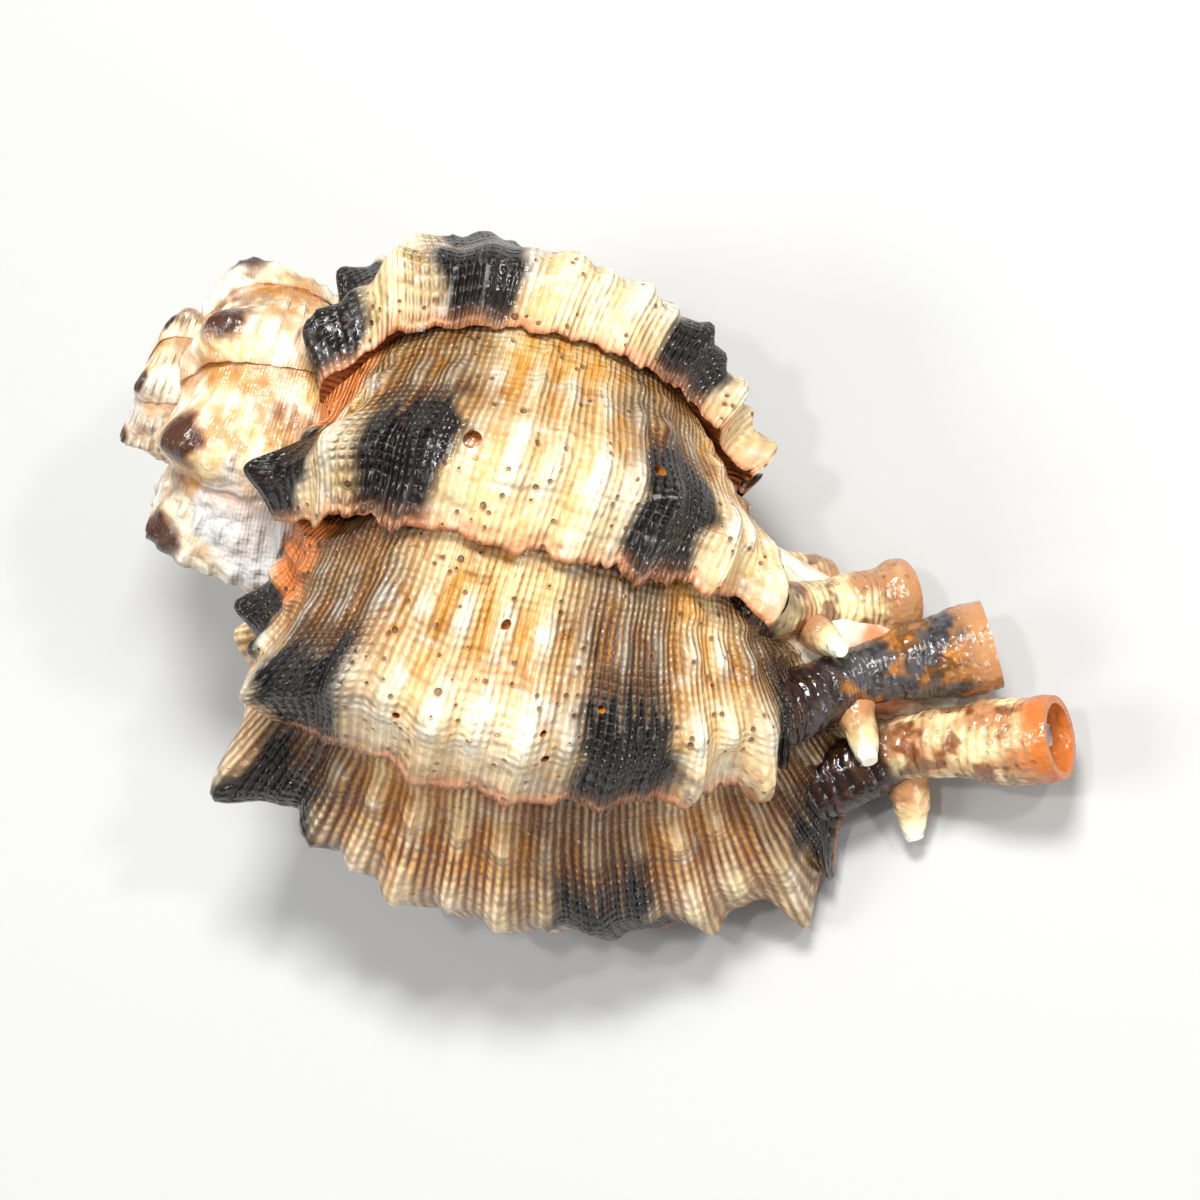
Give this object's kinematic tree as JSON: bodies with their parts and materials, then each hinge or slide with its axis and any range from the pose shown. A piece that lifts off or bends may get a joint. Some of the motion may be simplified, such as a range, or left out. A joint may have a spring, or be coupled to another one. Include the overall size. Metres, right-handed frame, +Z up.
{
  "type": "murex sea shell",
  "caption": "Spiral sea shell with frilled varices, a short worn spire, a wide aperture and a siphonal canal, lying on its aperture.",
  "frame": {"origin": "middle of the shell's bounding box, at the level it rests on", "axes": "+X along the shell towards the tip of its siphonal canal, -Y towards the outer lip, +Z up"},
  "size_m": [0.0914, 0.0606, 0.046],
  "materials": {
    "shell": "glossy varnished shell, cream and ochre with chestnut threads and purplish black bands"
  },
  "bodies": {
    "root": {"shell": "shell"}
  },
  "joints": []
}
